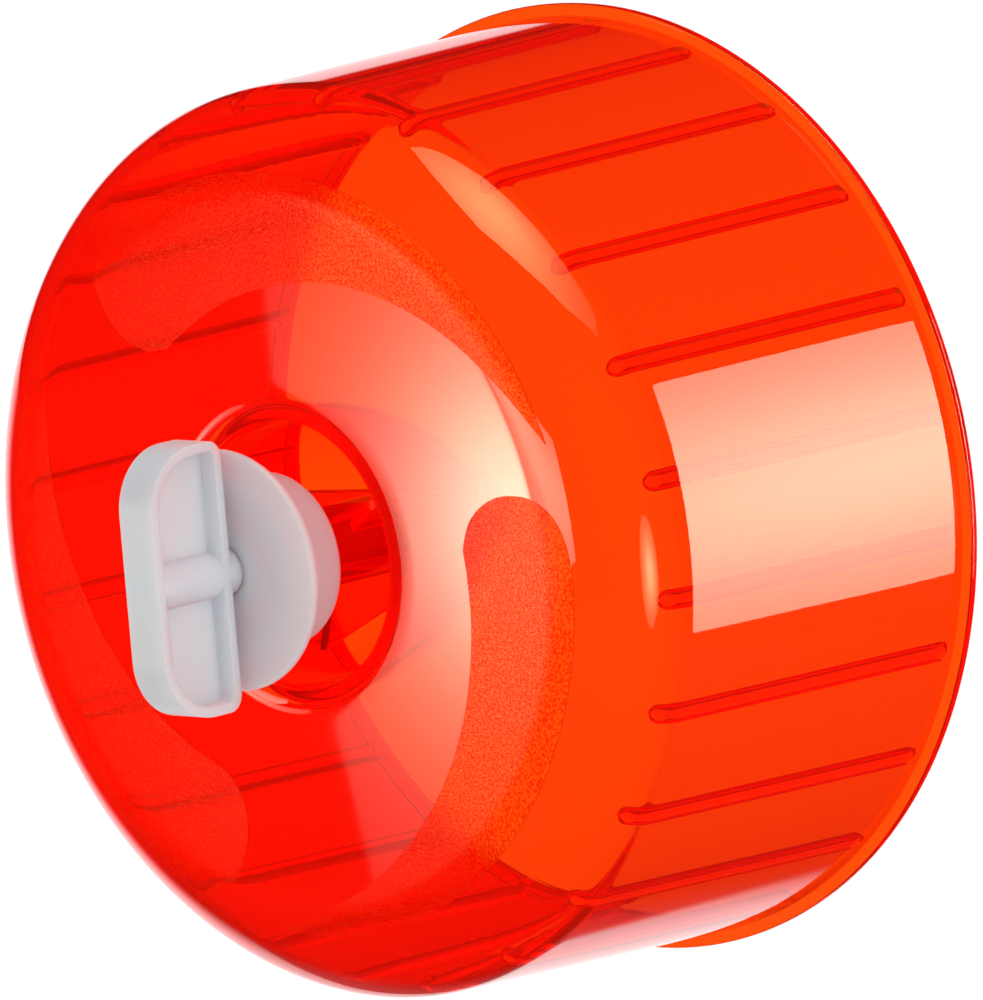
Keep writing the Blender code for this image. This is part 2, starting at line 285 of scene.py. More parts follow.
def add_piece(name: str, bm: Mesh, sharp: float = 38.0) -> Piece:
    """Make an object from a mesh, with smooth faces and sharp edges.

    Args:
        name: Name of the object.
        bm: The mesh, which is used up.
        sharp: Least angle of a sharp edge.

    Returns:
        The object.
    """
    bmesh.ops.recalc_face_normals(bm, faces=bm.faces)
    mesh = bpy.data.meshes.new(name)
    bm.to_mesh(mesh)
    bm.free()
    mesh.shade_smooth()
    mesh.set_sharp_from_angle(angle=math.radians(sharp))
    piece = bpy.data.objects.new(name, mesh)
    bpy.context.scene.collection.objects.link(piece)
    return piece


def combine(target: Piece, tool: Piece, merge: Merge) -> None:
    """Join, cut or trim a piece with a second shape, which is used up.

    Args:
        target: The piece that changes.
        tool: The second shape.
        merge: How it changes the piece.
    """
    modifier = target.modifiers.new(merge.name, "BOOLEAN")
    modifier.operation = merge.value
    modifier.solver = "EXACT"
    modifier.object = tool
    graph = bpy.context.evaluated_depsgraph_get()
    mesh = bpy.data.meshes.new_from_object(target.evaluated_get(graph))
    target.modifiers.clear()
    old = target.data
    target.data = mesh
    bpy.data.meshes.remove(old)
    mesh.name = target.name
    bpy.data.objects.remove(tool)


def settle(piece: Piece, finish: Finish, replaced: str, body: Body, slot: Slot) -> Piece:
    """Dress a finished piece and tie it to the frame.

    The drum's skin doesn't mirror the white pieces, as in the photograph.

    Args:
        piece: The piece.
        finish: Its material.
        replaced: Name of the node that it stands for.
        body: Body that it rides on.
        slot: Material slot that it takes its finish from.

    Returns:
        The piece.
    """
    piece.data.materials.clear()
    piece.data.materials.append(finish)
    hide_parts(replaced)
    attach(piece, body.value)
    piece.visible_glossy = slot is not Slot.WHITE
    return piece


# Finishes


class Mixed(Enum):
    """What a mix node mixes, with the numbers of its two inputs and its result."""

    FLOAT = (2, 3, 0)
    RGBA = (6, 7, 2)


class NodeSheet:
    """A node tree with short calls for adding and linking nodes."""

    def __init__(self, owner: Finish | bpy.types.World) -> None:
        """Start on the nodes of a material or of the world.

        Args:
            owner: The material or the world.
        """
        owner.use_nodes = True
        self.owner = owner
        self.nodes = owner.node_tree.nodes
        self.links = owner.node_tree.links

    def feed(self, value: Value, target: Socket) -> None:
        """Link an input to a socket, or set it to a constant.

        Args:
            value: The socket or the constant.
            target: The input.
        """
        if isinstance(value, Socket):
            self.links.new(value, target)
        else:
            target.default_value = value

    def add(self, kind: str, **settings: object) -> bpy.types.Node:
        """Add a node and set its attributes and inputs.

        Args:
            kind: Name of the node's type, without ShaderNode.
            **settings: Attributes, or values for inputs by name with _ for spaces.

        Returns:
            The node.
        """
        node = self.nodes.new("ShaderNode" + kind)
        for key, value in settings.items():
            if hasattr(node, key):
                setattr(node, key, value)
            else:
                self.feed(value, node.inputs[key.replace("_", " ")])
        return node

    def shade(self, **values: Value) -> None:
        """Feed the main shader's inputs, by name with _ for spaces."""
        for key, value in values.items():
            self.feed(value, self.nodes["Principled BSDF"].inputs[key.replace("_", " ")])

    def grain(self, scale: float, detail: float) -> Socket:
        """Return a noise over the object's own space, with features in a metre and layers."""
        place = self.add("TexCoord").outputs["Object"]
        return self.add("TexNoise", Scale=scale, Detail=detail, Vector=place).outputs["Fac"]

    def scaled(self, value: Socket, low: float, high: float) -> Socket:
        """Return a value that goes from low to high as another goes from 0 to 1."""
        return self.add("MapRange", Value=value, To_Min=low, To_Max=high).outputs["Result"]

    def ramp(self, value: Socket, step: Step) -> Socket:
        """Turn a value into a smooth step from 0 to 1.

        Args:
            value: Socket with the value.
            step: Values where the step starts and ends.

        Returns:
            The step's socket.
        """
        node = self.add("MapRange", interpolation_type="SMOOTHSTEP", Value=value)
        node.inputs["From Min"].default_value, node.inputs["From Max"].default_value = step
        return node.outputs["Result"]

    def mixed(
        self, share: Socket, first: Value, second: Value, kind: Mixed = Mixed.FLOAT
    ) -> Socket:
        """Go from one value or colour to another.

        Args:
            share: Socket that is 0 for the first and 1 for the second.
            first: Constant or socket.
            second: Constant or socket.
            kind: What is mixed.

        Returns:
            The result's socket.
        """
        node = self.add("Mix", data_type=kind.name, Factor=share)
        start, end, result = kind.value
        self.feed(first, node.inputs[start])
        self.feed(second, node.inputs[end])
        return node.outputs[result]

    def maths(
        self, operation: str, *values: Value, kind: str = "Math", result: str = "Value"
    ) -> Socket:
        """Work out a number or a vector.

        Args:
            operation: Name of the operation.
            *values: Constants or sockets that go in.
            kind: Name of the node's type, without ShaderNode.
            result: Name of the output.

        Returns:
            The result's socket.
        """
        node = self.add(kind, operation=operation)
        for value, target in zip(values, node.inputs):
            self.feed(value, target)
        return node.outputs[result]

    def vector(self, operation: str, *values: Value) -> Socket:
        """Work with vectors, which gives a number for a dot product or a length."""
        result = "Value" if operation in ("DOT_PRODUCT", "LENGTH") else "Vector"
        return self.maths(operation, *values, kind="VectorMath", result=result)


@dataclass(frozen=True)
class ClearOrange:
    """Clear orange plastic, polished, with matt pads where the mesh says so."""

    tint: Colour = (1.0, 0.35, 0.03, 1.0)
    sheen: Colour = WHITE
    pad_dark: Colour = (1.0, 0.10, 0.01, 1.0)
    pad_pale: Colour = (1.0, 1.0, 0.10, 1.0)
    pad_sheen: Colour = (1.0, 0.12, 0.02, 1.0)
    pad_roughness: Step = (0.07, 0.16)
    depth_colour: Colour = (0.995, 0.36, 0.0, 1.0)
    depth_density: float = 1400.0
    painted_glow_colour: Colour = (1.0, 0.01, 0.0, 1.0)
    painted_glow_strength: float = 32.0
    clear_share: float = 0.985
    ior: float = 1.5
    polish: Step = (0.012, 0.030)
    worn_scale: float = 90.0
    worn_layers: float = 4.0
    ripple_scale: float = 45.0
    ripple_depth: float = 0.02 * MM
    ripple_strength: float = 0.12
    speckle_scale: float = 2900.0
    speckle_depth: float = 0.02 * MM
    speckle_strength: float = 0.9
    speckle_step: Step = (0.43, 0.57)

    def make(self) -> Finish:
        """Make the material.

        Returns:
            The material.
        """
        sheet = NodeSheet(bpy.data.materials.new(Slot.ORANGE.value))
        matt = sheet.add("Attribute", attribute_name=MATT_ATTRIBUTE).outputs["Fac"]
        speckle = sheet.grain(self.speckle_scale, 1.0)
        worn = sheet.scaled(sheet.grain(self.worn_scale, self.worn_layers), *self.polish)
        rough = sheet.maths("MULTIPLY", matt, sheet.scaled(speckle, *self.pad_roughness))
        ripple = sheet.add("Bump", Distance=self.ripple_depth, Strength=self.ripple_strength)
        sheet.feed(sheet.grain(self.ripple_scale, 1.0), ripple.inputs["Height"])
        skin = sheet.add("Bump", Distance=self.speckle_depth, Strength=self.speckle_strength)
        sheet.feed(sheet.maths("MULTIPLY", matt, speckle), skin.inputs["Height"])
        sheet.feed(ripple.outputs["Normal"], skin.inputs["Normal"])
        sheet.shade(IOR=self.ior, Transmission_Weight=self.clear_share)
        sheet.shade(Roughness=sheet.maths("ADD", worn, rough), Normal=skin.outputs["Normal"])
        self.add_colour(sheet, matt, speckle)
        self.add_depth(sheet)
        return sheet.owner

    def add_colour(self, sheet: NodeSheet, matt: Socket, speckle: Socket) -> None:
        """Colour the skin, with grains on the matt pads.

        Args:
            sheet: The plastic's nodes.
            matt: Socket that is 1 on the pads.
            speckle: Socket with the grains.
        """
        share = sheet.ramp(speckle, self.speckle_step)
        grains = sheet.mixed(share, self.pad_dark, self.pad_pale, Mixed.RGBA)
        sheet.shade(Base_Color=sheet.mixed(matt, self.tint, grains, Mixed.RGBA))
        sheet.shade(Specular_Tint=sheet.mixed(matt, self.sheen, self.pad_sheen, Mixed.RGBA))

    def add_depth(self, sheet: NodeSheet) -> None:
        """Let the plastic swallow green and blue, with a faint painted red glow in its depth.

        Args:
            sheet: The plastic's nodes.
        """
        depth = sheet.add("VolumeAbsorption", Color=self.depth_colour, Density=self.depth_density)
        # Painted light: the plastic's volume glows red, though it is no lamp, standing in for light
        # carried through its layers.
        painted_glow = sheet.add("Emission", Color=self.painted_glow_colour, Strength=self.painted_glow_strength)
        both = sheet.add("AddShader")
        sheet.feed(depth.outputs["Volume"], both.inputs[0])
        sheet.feed(painted_glow.outputs["Emission"], both.inputs[1])
        sheet.feed(both.outputs["Shader"], sheet.nodes["Material Output"].inputs["Volume"])


@dataclass(frozen=True)
class MilkyWhite:
    """Natural white plastic that lets a little light in."""

    colour: Colour = (0.81, 0.86, 0.94, 1.0)
    ior: float = 1.5
    roughness: Step = (0.306, 0.432)
    soft_depth: float = 3.0 * MM
    soft_weight: float = 1.0
    soft_reach: Direction = (1.0, 0.92, 0.85)
    worn_scale: float = 160.0
    worn_layers: float = 4.0
    grain_scale: float = 1400.0
    grain_layers: float = 3.0
    grain_depth: float = 0.02 * MM
    grain_strength: float = 0.25

    def make(self) -> Finish:
        """Make the material.

        Returns:
            The material.
        """
        sheet = NodeSheet(bpy.data.materials.new(Slot.WHITE.value))
        rough = sheet.scaled(sheet.grain(self.worn_scale, self.worn_layers), *self.roughness)
        skin = sheet.add("Bump", Distance=self.grain_depth, Strength=self.grain_strength)
        sheet.feed(sheet.grain(self.grain_scale, self.grain_layers), skin.inputs["Height"])
        sheet.shade(Base_Color=self.colour, IOR=self.ior, Roughness=rough)
        sheet.shade(Subsurface_Weight=self.soft_weight, Subsurface_Scale=self.soft_depth)
        sheet.shade(Subsurface_Radius=self.soft_reach, Normal=skin.outputs["Normal"])
        return sheet.owner


# The wheel


@dataclass
class AxleLine:
    """Places along the axle and radii that several pieces share."""

    wire_gap: float = 2.2 * MM
    axle_radius: float = 3.4 * MM
    running_clearance: float = 0.35 * MM
    tube_radius: float = 5.8 * MM
    disc_back: float = 2.3 * MM
    cup_back: float = 12.1 * MM
    tube_front: float = 12.5 * MM
    face: float = 13.25 * MM
    rim: float = 83.25 * MM
    bell_mouth: float = 15.0 * MM
    bell_bottom: float = 48.2 * MM
    tube_end: float = 50.0 * MM
    cap_front: float = 50.4 * MM
    shoulder: float = 50.1 * MM
    spigot_end: float = 53.5 * MM
    cap_floor: float = 53.8 * MM
    cap_end: float = 55.1 * MM

    @property
    def bore_radius(self) -> float:
        """Radius of the bores that the axle runs in."""
        return self.axle_radius + self.running_clearance


@dataclass
class RunningDrum:
    """The clear orange drum with its hub, ribs and matt pads."""

    line: AxleLine
    rim_radius: float = 70.0 * MM
    wall: float = 2.0 * MM
    flange_reach: float = 1.75 * MM
    flange_thickness: float = 1.4 * MM
    flange_round: float = 0.45 * MM
    wall_taper: float = 1.8 * MM
    corner_depth: float = 12.3 * MM
    corner_reach: float = 14.7 * MM
    corner_power: float = 1.3
    corner_lead: float = 4.0 * MM
    corner_rounds: int = 5
    corner_piece: float = 0.7 * MM
    wall_piece: float = 4.0 * MM
    skin_piece: float = 3.0 * MM
    curve_steps: int = 28
    edge_round: float = 0.4 * MM
    hub_radius: float = 19.5 * MM
    hub_roll: float = 3.5 * MM
    bell_wall: float = 1.8 * MM
    bell_power: float = 2.6
    bell_fillet: float = 1.5 * MM
    fin_count: int = 3
    fin_first: float = 60.0
    fin_thickness: float = 1.4 * MM
    fin_setback: float = 6.1 * MM
    fin_fall: float = 3.0 * MM
    fin_tip: float = 14.6 * MM
    fin_foot: float = 6.4 * MM
    rib_count: int = 24
    rib_first: float = 4.6
    rib_width: float = 3.0 * MM
    rib_height: float = 1.4 * MM
    rib_start: float = 1.6 * MM
    rib_face_gap: float = 9.7 * MM
    pad_count: int = 3
    pad_first: float = -43.4
    pad_sweep: float = 114.6
    pad_outer: float = 55.4 * MM
    pad_inner: float = 35.3 * MM
    pad_raise: float = 0.10 * MM
    pad_proud_share: float = 0.6
    pad_margin: float = 4.0 * MM
    pad_mark_margin: float = 2.0 * MM
    pad_front: float = 1.0 * MM
    pad_power: float = 1.8
    pad_head_shares: tuple[Point, ...] = (
        (0.023, 0.082), (0.064, 0.055), (0.136, 0.033),
        (0.252, 0.015), (0.413, 0.004), (0.588, 0.000),
        (0.757, 0.010), (0.889, 0.033), (0.969, 0.068),
    )
    pad_edge_start_share: float = 0.11
    sunk: float = 0.8 * MM
    sharp_edge: float = 30.0

    @property
    def inner_rim(self) -> float:
        """Radius of the wall's inside at the open rim."""
        return self.rim_radius - self.flange_reach - self.wall

    def outer_skin(self) -> list[Point]:
        """Draw the outer line from the flange to the edge of the hub.

        Returns:
            The points as (radius, y).
        """
        wall_rim = self.rim_radius - self.flange_reach
        wall_corner = wall_rim - self.wall_taper
        flat = wall_corner - self.corner_reach
        corner_y = self.line.face + self.corner_depth
        ends = [(wall_rim, self.line.rim - self.flange_thickness), (wall_corner, corner_y)]
        wall = split(ends, self.wall_piece)
        corner = wall[-2:]
        for index in range(1, self.curve_steps + 1):
            turn = math.pi / 2 * index / self.curve_steps
            reach = self.corner_reach * max(math.cos(turn), 0.0) ** self.corner_power
            drop = self.corner_depth * math.sin(turn) ** self.corner_power
            corner.append((flat + reach, corner_y - drop))
        corner.append((flat - self.corner_lead, self.line.face))
        hub = self.hub_radius + self.hub_roll
        rest = split([corner[-1], (hub, self.line.face)], self.skin_piece)
        return wall[:-2] + smooth(split(corner, self.corner_piece), self.corner_rounds) + rest[1:]

    def bell_skin(self) -> list[Point]:
        """Draw the recess side of the bell, from its mouth to its bottom.

        Returns:
            The points as (radius, y).
        """
        line = self.line
        depth = line.bell_bottom - line.bell_mouth
        points = []
        for index in range(self.curve_steps + 1):
            share = index / self.curve_steps
            reach = (self.hub_radius - line.tube_radius) * (1 - share**self.bell_power)
            points.append((line.tube_radius + reach, line.bell_mouth + depth * share))
        return points

    def profile(self) -> tuple[list[Point], range]:
        """Draw the drum's closed outline.

        Returns:
            The points as (radius, y), and the numbers of those that can hold a rib.
        """
        line = self.line
        outer, bell = self.outer_skin(), self.bell_skin()
        flange_y = line.rim - self.flange_thickness
        lip = [(self.rim_radius, line.rim), (self.rim_radius, flange_y)]
        start = (self.rim_radius - 4 * self.flange_round, line.rim)
        loop = soften([start, *lip, outer[0]], self.flange_round, 5, closed=False)[1:-1]
        loop += outer
        loop += bend(outer[-1], (self.hub_radius, line.face), bell[0], 12)[1:-1]
        loop += bell[:-1]
        tube = [(line.tube_radius, line.bell_bottom), (line.tube_radius, line.tube_front)]
        tube += [(line.bore_radius, line.tube_front), (line.bore_radius, line.tube_end)]
        tube += [(line.tube_radius, line.tube_end)]
        loop += soften(tube, self.edge_round, closed=False)

        back = offset(outer, -self.wall)
        shell = offset(bell, -self.bell_wall)
        face_y = back[-1][1]
        bell_y = face_y + self.bell_fillet
        hub_back = self.hub_radius + self.bell_wall
        loop += [point for point in reversed(shell) if bell_y < point[1] < line.tube_end]
        end = (hub_back + self.bell_fillet, face_y)
        loop += bend((hub_back, bell_y), (hub_back, face_y), end, 6)
        ribbed = [point for point in reversed(back[1:]) if point[0] > end[0]]
        near_rim = (self.inner_rim, flange_y)
        ribbed += split([ribbed[-1], near_rim], self.skin_piece)[1:]
        first = len(loop)
        loop += self.with_rib_steps(ribbed)
        last = len(loop)
        edge = [near_rim, (self.inner_rim, line.rim), start]
        loop += soften(edge, self.edge_round, closed=False)[1:]
        return loop, range(first, last)

    def with_rib_steps(self, skin: Sequence[Point]) -> list[Point]:
        """Add points to the inner skin where the ribs have their round ends.

        Args:
            skin: Points of the inner skin, from the face to the rim.

        Returns:
            The points with close steps at the ends of the ribs.
        """
        half = self.rib_width / 2
        top = self.line.rim - self.rib_start
        low = self.line.face + self.rib_face_gap
        steps = 8
        extra = []
        for index in range(steps + 1):
            inset = half * (1 - math.cos(math.pi / 2 * index / steps))
            extra += [top - inset, low + inset]
        points = list(skin)
        for y in extra:
            for index, (first, second) in enumerate(zip(points, points[1:])):
                before, after = sorted((first[1], second[1]))
                if before < y - NEAR and y + NEAR < after:
                    share = (y - first[1]) / (second[1] - first[1])
                    radius = first[0] + (second[0] - first[0]) * share
                    points.insert(index + 1, (radius, y))
                    break
        return points

    def turns(self) -> list[float]:
        """Work out the angles of the rows, which lie close together across each rib.

        Returns:
            The angles in radians.
        """
        half = self.rib_width / 2 / self.inner_rim
        pitch = math.tau / self.rib_count
        gap = pitch - 2 * half
        rows = 7
        angles = []
        for rib in range(self.rib_count):
            middle = math.radians(self.rib_first) + pitch * rib
            angles += [middle + half * sine(90 * k / rows) for k in range(-rows, rows + 1)]
            angles += [middle + half + gap * k / rows for k in range(1, rows)]
        return angles

    def rib_lift(self, points: Sequence[Point], ribbed: range) -> Lift:
        """Return the function that raises the ribs on the inner skin.

        Args:
            points: The drum's outline.
            ribbed: The points of it that lie on the inner skin.

        Returns:
            A function of a point's number and an angle in radians.
        """
        half = self.rib_width / 2
        top = self.line.rim - self.rib_start - half
        low = self.line.face + self.rib_face_gap + half
        pitch = math.tau / self.rib_count
        first = math.radians(self.rib_first)

        def lift(index: int, turn: float) -> float:
            """Work out how far a point stands in from the wall.

            Args:
                index: The point's number.
                turn: Angle of its row, in radians.

            Returns:
                The distance.
            """
            if index not in ribbed:
                return 0.0
            radius, y = points[index]
            past = max(y - top, low - y, 0.0)
            nearest = (turn - first + pitch / 2) % pitch - pitch / 2
            aside = abs(nearest) * self.inner_rim
            inside = 1 - (past * past + aside * aside) / (half * half)
            return self.rib_height * math.sqrt(max(inside, 0.0))

        return lift

    def pad_outline(self) -> list[Point]:
        """Draw a pad's outline, from its head.

        Returns:
            The points as (radius, angle in radians).
        """
        span = self.pad_outer - self.pad_inner
        head = [(self.pad_outer - span * inward, along) for inward, along in self.pad_head_shares]
        last = self.pad_head_shares[-1][1]
        steps = 60
        shares = [last + (1 - last) * index / steps for index in range(1, steps + 1)]
        tail = [(self.pad_inner + span * share**self.pad_power, share) for share in shares]
        rest = 1 - self.pad_edge_start_share
        back = [(self.pad_outer, 1 - rest * index / steps) for index in range(1, steps)]
        points = self.smooth_head([back[-1], *head, tail[0]]) + tail[1:] + back[:-1]
        return [(radius, math.radians(self.pad_sweep) * share) for radius, share in points]

    @staticmethod
    def smooth_head(points: Sequence[Point]) -> list[Point]:
        """Draw a smooth curve through a pad's head.

        Args:
            points: Points of the head as (radius, share of the sweep).

        Returns:
            The points of an even curve through them.
        """
        ends = [points[0], *points, points[-1]]
        curve = []
        steps = 8
        for group in zip(ends, ends[1:], ends[2:], ends[3:]):
            a, b, c, d = (Vector(point) for point in group)
            for index in range(steps):
                t = index / steps
                bent = (2 * a - 5 * b + 4 * c - d) * t**2 + (3 * b - a - 3 * c + d) * t**3
                curve.append(tuple((2 * b + (c - a) * t + bent) / 2))
        curve.append(tuple(points[-1]))
        return curve

    def add_fins(self, drum: Piece) -> None:
        """Join the fins that stand on the tube.

        Args:
            drum: The drum's shell.
        """
        line = self.line
        inner = line.tube_radius - self.sunk
        front = line.face + self.fin_setback
        bottom = line.bell_bottom + self.sunk
        outline = [(inner, front + self.fin_fall), (self.fin_tip, front)]
        outline += [(self.fin_foot, bottom), (inner, bottom)]
        fins = bmesh.new()
        half = self.fin_thickness / 2
        for step in full_turn(self.fin_count):
            turn = math.radians(self.fin_first) + step
            across = on_circle(1.0, turn + math.pi / 2, 0.0)
            prism(fins, outline, -half, half, lambda r, y, w: on_circle(r, turn, y) + across * w)
        combine(drum, add_piece("fins", fins), Merge.JOIN)

    def add_pads(self, drum: Piece) -> None:
        """Raise the matt pads on the closed face.

        Args:
            drum: The drum's shell.
        """
        edge = self.pad_outer + self.pad_margin
        skin = [point for point in self.outer_skin() if point[0] < edge]
        slab = offset(skin, self.pad_raise) + list(reversed(offset(skin, -self.sunk)))
        pads = add_piece("pads", lathe(slab, full_turn(240)))
        commas = bmesh.new()
        low, high = self.line.face - self.pad_front, self.line.face + self.corner_depth
        for step in full_turn(self.pad_count):
            first = math.radians(self.pad_first) + step
            outline = [(radius, first + turn) for radius, turn in self.pad_outline()]
            prism(commas, outline, low, high, on_circle)
        combine(pads, add_piece("commas", commas), Merge.KEEP_SHARED)
        combine(drum, pads, Merge.JOIN)

    def mark_pads(self, drum: Piece) -> None:
        """Store which faces belong to the matt pads.

        Args:
            drum: The finished drum.
        """
        mesh = drum.data
        edge = self.pad_outer + self.pad_mark_margin
        skin = [point for point in self.outer_skin() if point[0] < edge]
        share = mesh.attributes.new(MATT_ATTRIBUTE, "FLOAT", "FACE")
        for face in mesh.polygons:
            centre = face.center
            radius = math.hypot(centre.x, centre.z)
            height = self.skin_height(skin, radius)
            proud = height is not None and height - centre.y > self.pad_raise * self.pad_proud_share
            share.data[face.index].value = float(proud)

    @staticmethod
    def skin_height(skin: Sequence[Point], radius: float) -> float | None:
        """Find the skin's place along the axle at a radius.

        Args:
            skin: Points of the skin, from the outside in.
            radius: The radius.

        Returns:
            The place, or None outside the skin.
        """
        for (r0, y0), (r1, y1) in zip(skin, skin[1:]):
            if r1 <= radius <= r0:
                return y0 + (y1 - y0) * (radius - r0) / (r1 - r0)
        return None

    def build(self, finish: Finish) -> Piece:
        """Build and dress the drum.

        Args:
            finish: The clear orange plastic.

        Returns:
            The drum.
        """
        points, ribbed = self.profile()
        shell = lathe(points, self.turns(), lift=self.rib_lift(points, ribbed))
        drum = add_piece("running_drum_moulding", shell)
        self.add_fins(drum)
        self.add_pads(drum)
        drum.data.set_sharp_from_angle(angle=math.radians(self.sharp_edge))
        self.mark_pads(drum)
        return settle(drum, finish, "running_drum", Body.DRUM, Slot.ORANGE)


@dataclass
class LockBar:
    """The white bar outside the cage, in one piece with the axle."""

    line: AxleLine
    length: float = 39.0 * MM
    reach: float = 14.6 * MM
    width: float = 6.6 * MM
    wall: float = 1.4 * MM
    web: float = 1.0 * MM
    outer_radius: float = 9.0 * MM
    inner_radius: float = 2.5 * MM
    edge_round: float = 0.9 * MM
    spigot_radius: float = 2.6 * MM
    spigot_chamfer: float = 0.5 * MM
    tray_past: float = 1.0 * MM
    moulded_edge: float = 0.35 * MM
    moulded_from: float = 40.0

    def outline(self, inset: float) -> list[Point]:
        """Return the bar's outline as (y, z) points, set in from its edge.

        Args:
            inset: Distance from the edge.

        Returns:
            The points, once round.
        """
        near = -self.line.wire_gap / 2 - inset
        far = -self.line.wire_gap / 2 - self.reach + inset
        half = self.length / 2 - inset
        outer = max(self.outer_radius - inset, self.edge_round)
        inner = max(self.inner_radius - inset, self.edge_round)
        points = []
        centres = ((near - inner, half - inner, inner, 0), (far + outer, half - outer, outer, 1))
        centres += ((far + outer, outer - half, outer, 2), (near - inner, inner - half, inner, 3))
        steps = 14
        for y, z, radius, quarter in centres:
            for index in range(steps + 1):
                turn = math.pi / 2 * (quarter + index / steps)
                points.append((y + radius * math.cos(turn), z + radius * math.sin(turn)))
        return points

    def build(self, finish: Finish) -> Piece:
        """Build and dress the bar with its axle.

        Args:
            finish: The milky white plastic.

        Returns:
            The bar.
        """
        line = self.line
        half = self.width / 2
        block = bmesh.new()
        prism(block, self.outline(0.0), -half, half, lambda y, z, x: Vector((x, y, z)))
        bar = add_piece("lock_bar_with_axle", block)
        for side in (-1, 1):
            tray = bmesh.new()
            low, high = sorted((side * self.web / 2, side * (half + self.tray_past)))
            prism(tray, self.outline(self.wall), low, high, lambda y, z, x: Vector((x, y, z)))
            combine(bar, add_piece("tray", tray), Merge.CUT)
        start = -line.wire_gap / 2 - self.reach + self.wall / 2
        profile = [(0.0, start), (line.axle_radius, start), (line.axle_radius, line.shoulder)]
        profile += [(self.spigot_radius, line.shoulder), (self.spigot_radius, line.spigot_end)]
        profile += [(0.0, line.spigot_end)]
        profile = soften(profile, self.spigot_chamfer, 3, closed=False)
        combine(bar, add_piece("axle", lathe(profile, full_turn(64), closed=False)), Merge.JOIN)
        bevel = bar.modifiers.new("Moulded edges", "BEVEL")
        bevel.width = self.moulded_edge
        bevel.segments = 3
        bevel.limit_method = "ANGLE"
        bevel.angle_limit = math.radians(self.moulded_from)
        return settle(bar, finish, "lock_bar_axle", Body.LOCK, Slot.WHITE)


@dataclass
class SupportDisc:
    """The white disc inside the wires, with the spacer cup behind it."""

    line: AxleLine
    radius: float = 17.4 * MM
    edge_round: float = 0.45 * MM
    cup_radius: float = 12.6 * MM
    cup_wall: float = 1.5 * MM
    cup_round: float = 1.1 * MM
    floor: float = 1.2 * MM
    lip_round: float = 0.4 * MM
    bore_gap: float = 0.08 * MM

    def build(self, finish: Finish) -> Piece:
        """Build and dress the disc.

        Args:
            finish: The milky white plastic.

        Returns:
            The disc.
        """
        line = self.line
        front = line.wire_gap / 2
        hollow = self.cup_radius - self.cup_wall
        bore = line.axle_radius + self.bore_gap
        corners = [(bore, front), (self.radius, front), (self.radius, line.disc_back)]
        corners += [(self.cup_radius, line.disc_back)]
        lip = [(self.cup_radius, line.cup_back), (hollow, line.cup_back)]
        inside = [(hollow, front + self.floor), (line.tube_radius, front + self.floor)]
        inside += [(line.tube_radius, line.cup_back), (bore, line.cup_back)]
        loop = soften(corners, self.edge_round, 5, closed=False)
        loop += bend(
            (self.cup_radius, line.cup_back - self.cup_round),
            lip[0],
            (self.cup_radius - self.cup_round, line.cup_back),
        )
        loop += soften([lip[1], *inside], self.lip_round, closed=False)
        disc = add_piece("support_disc_with_cup", lathe(loop, full_turn(160)))
        return settle(disc, finish, "support_disc", Body.SUPPORT, Slot.WHITE)


@dataclass
class AxleCap:
    """The white cap that keeps the drum on the axle."""

    line: AxleLine
    radius: float = 6.6 * MM
    bore: float = 2.9 * MM
    front_round: float = 0.3 * MM
    crown_round: float = 1.4 * MM

    def build(self, finish: Finish) -> Piece:
        """Build and dress the cap.

        Args:
            finish: The milky white plastic.

        Returns:
            The cap.
        """
        line = self.line
        profile = [(0.0, line.cap_floor), (self.bore, line.cap_floor), (self.bore, line.cap_front)]
        profile += [(self.radius, line.cap_front)]
        corner = (self.radius, line.cap_end)
        profile = soften([*profile, corner], self.front_round, 3, closed=False)[:-1]
        side = (self.radius, line.cap_end - self.crown_round)
        profile += bend(side, corner, (self.radius - self.crown_round, line.cap_end), 8)
        profile += [(0.0, line.cap_end)]
        cap = add_piece("axle_cap_pushed_on", lathe(profile, full_turn(96), closed=False))
        return settle(cap, finish, "axle_cap", Body.LOCK, Slot.WHITE)


# The studio


@dataclass(frozen=True)
class Glow:
    """How a card shines: brightest at one spot, less away from it."""

    brightness: float
    spot: Point = (0.0, 0.0)
    spread: Point = (1.0, 1.0)
    fall: float = 1.0
    colour: Colour = (1.0, 0.93, 0.68, 1.0)

    def make(self, name: str) -> Finish:
        """Make the glowing material.

        Args:
            name: Name of the card.

        Returns:
            The material.
        """
        sheet = NodeSheet(bpy.data.materials.new(name))
        place = sheet.add("TexCoord").outputs["Object"]
        away = sheet.vector("SUBTRACT", place, (*self.spot, 0.0))
        share = sheet.vector("DIVIDE", away, (*self.spread, 1.0))
        square = sheet.vector("DOT_PRODUCT", share, share)
        fade = sheet.maths("POWER", sheet.maths("ADD", square, 1.0), -self.fall)
        strength = sheet.maths("MULTIPLY", fade, self.brightness)
        sheet.shade(Base_Color=BLACK, Specular_IOR_Level=0.0)
        sheet.shade(Emission_Color=self.colour, Emission_Strength=strength)
        return sheet.owner


@dataclass(frozen=True)
class Card:
    """A flat glowing card that only reflections show, turned to face a point.

    A negative distance puts it behind the point, turned the same way.
    """

    name: str
    towards: Direction
    distance: float
    outline: Sequence[Point]
    glow: Glow

    def build(self, centre: Vector) -> None:
        """Add the card.

        Args:
            centre: The point that it faces.
        """
        bm = bmesh.new()
        bm.faces.new([bm.verts.new((x, y, 0.0)) for x, y in self.outline])
        card = add_piece(self.name, bm)
        out = Vector(self.towards).normalized()
        side = Vector((0.0, 0.0, 1.0)).cross(out).normalized()
        turn = Matrix((side, out.cross(side), out)).transposed()
        card.matrix_world = Matrix.Translation(centre + out * self.distance) @ turn.to_4x4()
        card.data.materials.append(self.glow.make(self.name))
        for ray in ("camera", "diffuse", "transmission", "volume_scatter", "shadow"):
            setattr(card, f"visible_{ray}", False)


